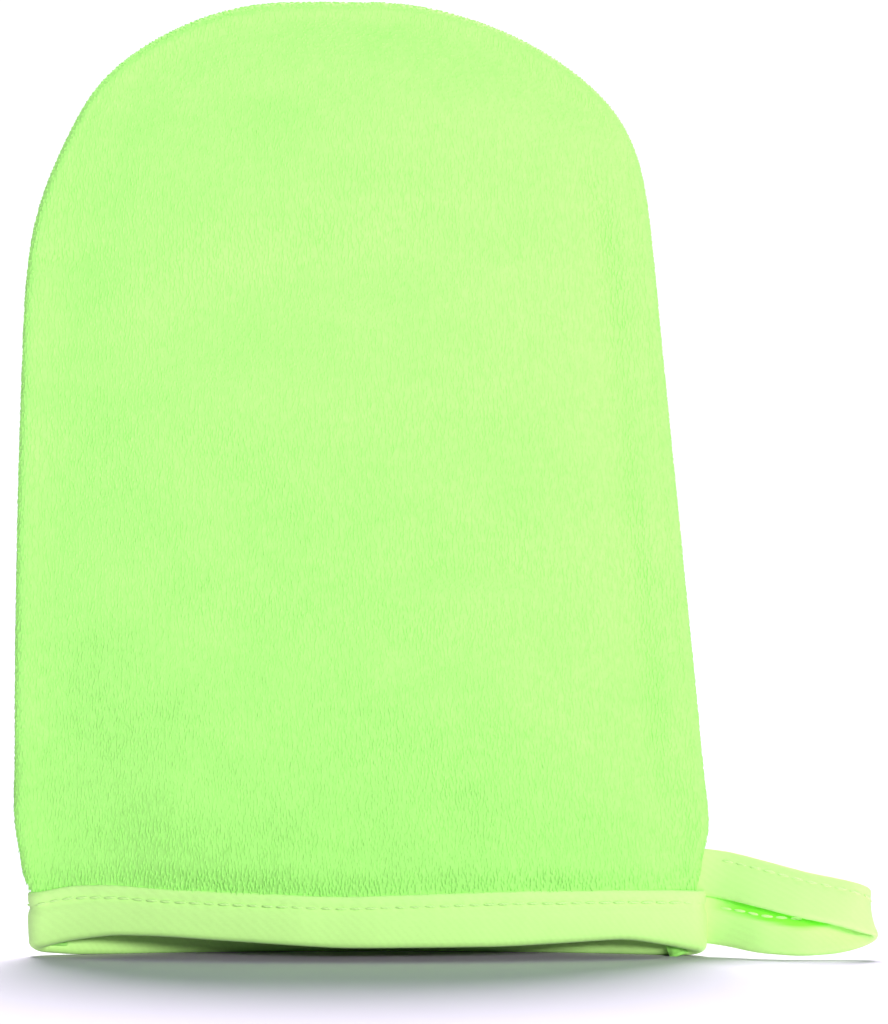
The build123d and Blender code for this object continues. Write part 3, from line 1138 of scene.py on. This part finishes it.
def ribbon_path(count):
    """The loop tape's middle line and the way its width lies, from the front root to the rear."""
    stations = (
        # from where, then x, y and z of the middle in millimetres,
        # then how far the upper edge leans back, and along x
        (tails_far, -5, 0.0, 18.4, 0.0, 0.1),
        (tails_far, -1, -0.2, 18.2, 0.05, 0.16),
        (tails_far, 3, -1.4, 17.7, 0.2, 0.21),
        (tails_far, 10, -4.8, 16.1, 0.36, 0.23),
        (tails_far, 19, -8.4, 13.9, 0.42, 0.23),
        (loop_far, -9.8, -9.8, 12.6, 0.4, 0.2),
        (loop_far, -5.6, -10.2, 11.6, 0.34, 0.1),
        (loop_far, -3.0, -9.5, 10.6, 0.28, -0.08),
        (loop_far, -1.7, -8.0, 9.5, 0.24, -0.2),
        (loop_far, -2.1, -6.6, 8.4, 0.26, -0.24),
        (loop_far, -5.0, -6.2, 7.0, 0.34, -0.2),
        (loop_far, -9.4, -6.9, 5.9, 0.4, -0.1),
        (tails_far, 19, -7.2, 5.4, 0.42, -0.03),
        (tails_far, 11, -5.4, 5.9, 0.36, 0.03),
        (tails_far, 4, -1.4, 7.2, 0.2, 0.08),
        (tails_far, -1, 0.5, 7.8, 0.03, 0.04),
        (tails_far, -5, 0.6, 7.9, 0.0, 0.0),
    )
    stations = np.array([(a + x * mm, y * mm, z * mm, *lean) for a, x, y, z, *lean in stations])
    far = along(stations[:, :3])
    places = np.linspace(0, far[-1], 600)
    fine = np.stack([np.interp(places, far, column) for column in stations.T], axis=1)
    fine = softened(fine, 12, 2)
    spots = np.linspace(0, len(fine) - 1, count)
    path = np.stack([np.interp(spots, np.arange(len(fine)), column) for column in fine.T], axis=1)
    points = path[:, :3]
    across = np.stack([path[:, 4], path[:, 3], np.ones(count)], axis=1)
    run = unit(np.gradient(points, axis=0))
    across -= run * (across * run).sum(1)[:, None]
    return points, unit(across)


# ---- cut sizes: an empty step ----
class MITT_OT_cut_sizes(bpy.types.Operator):
    """An empty step: it states no cut sizes"""

    bl_idname = "mitt.cut_sizes"
    bl_label = "Cut sizes"

    def execute(self, context):
        return {"FINISHED"}


# ---- stage ----
class MITT_OT_stage(bpy.types.Operator):
    """Lays the floor and sets the light and the camera"""

    bl_idname = "mitt.stage"
    bl_label = "Stage"

    def execute(self, context):
        scene = context.scene
        scene.view_settings.view_transform = "Standard"
        f = Finish("floor")
        grain = f.noise(f.object_place(), 40, 2.0)
        base = f.vector_math("SCALE", tuple(scene.mitt_colours.floor), 0.99 + grain * 0.02)
        material = f.close({"Specular IOR Level": 0.0}, base=base, roughness=0.9 + grain * 0.05)
        size = 12.0
        corners = [(-size, -size, 0), (size, -size, 0), (size, size, 0), (-size, size, 0)]
        floor = new_object("floor", corners, [(0, 1, 2, 3)])
        floor.data.materials.append(material)

        world = bpy.data.worlds.new("studio")
        scene.world = world
        world.use_nodes = True
        g = Graph(world.node_tree)
        fill = g.add("ShaderNodeBackground", {}, {"Color": (0.6, 0.62, 1.0, 1), "Strength": 0.22})
        seen = g.add("ShaderNodeBackground", {}, {"Color": (1, 1, 1, 1), "Strength": 1.1})
        path = g.add("ShaderNodeLightPath", out="Is Camera Ray")
        both = g.add("ShaderNodeMixShader", {}, {0: path, 1: fill, 2: seen})
        g.add("ShaderNodeOutputWorld", {}, {"Surface": both})

        centre = (whole_low + whole_high) / 2
        sun = bpy.data.lights.new("back_light", "SUN")
        sun.energy = 6.0
        sun.angle = math.radians(38)
        self.place(sun, Vector((0.0, 0.55, 0.9)), Vector((0, 0, 0)))
        front = bpy.data.lights.new("front_box", "AREA")
        front.shape = "RECTANGLE"
        front.size, front.size_y = 1.6, 0.3
        front.energy = 86
        self.place(front, Vector((centre.x + 1.3, -2.9, 0.62)), centre)

        camera = bpy.data.cameras.new("camera")
        camera.sensor_width = 36
        distance = 1.1
        picture_height = 1.0725 * whole_high.z
        camera.lens = camera.sensor_width * distance / picture_height
        camera.clip_end = 60
        spot = Vector((centre.x, -distance, 0.4655 * whole_high.z))
        self.place(camera, spot, spot + Vector((0, 1, 0)))
        scene.camera = bpy.data.objects["camera"]
        return {"FINISHED"}

    @staticmethod
    def place(data, spot, target):
        """Adds a light or camera that looks from spot to target."""
        made = bpy.data.objects.new(data.name, data)
        made.location = spot
        made.rotation_euler = (target - spot).to_track_quat("-Z", "Y").to_euler()
        bpy.context.scene.collection.objects.link(made)


# ---- the add-on ----
steps = (
    MITT_OT_panels,
    MITT_OT_pile,
    MITT_OT_cuff_tape,
    MITT_OT_cuff_stitches,
    MITT_OT_side_seam,
    MITT_OT_loop,
    MITT_OT_cut_sizes,
    MITT_OT_stage,
)


class MITT_PT_panel(bpy.types.Panel):
    """Lists the steps that build the mitt"""

    bl_idname = "MITT_PT_panel"
    bl_label = "Wash mitt"
    bl_space_type = "VIEW_3D"
    bl_region_type = "UI"
    bl_category = "Wash mitt"

    def draw(self, context):
        for group in (context.scene.mitt_sizes, context.scene.mitt_colours):
            for name in group.__annotations__:
                self.layout.prop(group, name)
        for step in steps:
            self.layout.operator(step.bl_idname)


classes = (MittSizes, MittColours, *steps, MITT_PT_panel)


def register():
    for item in classes:
        bpy.utils.register_class(item)
    bpy.types.Scene.mitt_sizes = PointerProperty(type=MittSizes)
    bpy.types.Scene.mitt_colours = PointerProperty(type=MittColours)


def unregister():
    del bpy.types.Scene.mitt_colours
    del bpy.types.Scene.mitt_sizes
    for item in reversed(classes):
        bpy.utils.unregister_class(item)


def main():
    """Builds every piece and the stage."""
    register()
    bpy.ops.mitt.panels()
    bpy.ops.mitt.pile()
    bpy.ops.mitt.cuff_tape()
    bpy.ops.mitt.cuff_stitches()
    bpy.ops.mitt.side_seam()
    bpy.ops.mitt.loop()
    bpy.ops.mitt.cut_sizes()
    bpy.ops.mitt.stage()


if __name__ == "__main__":
    main()
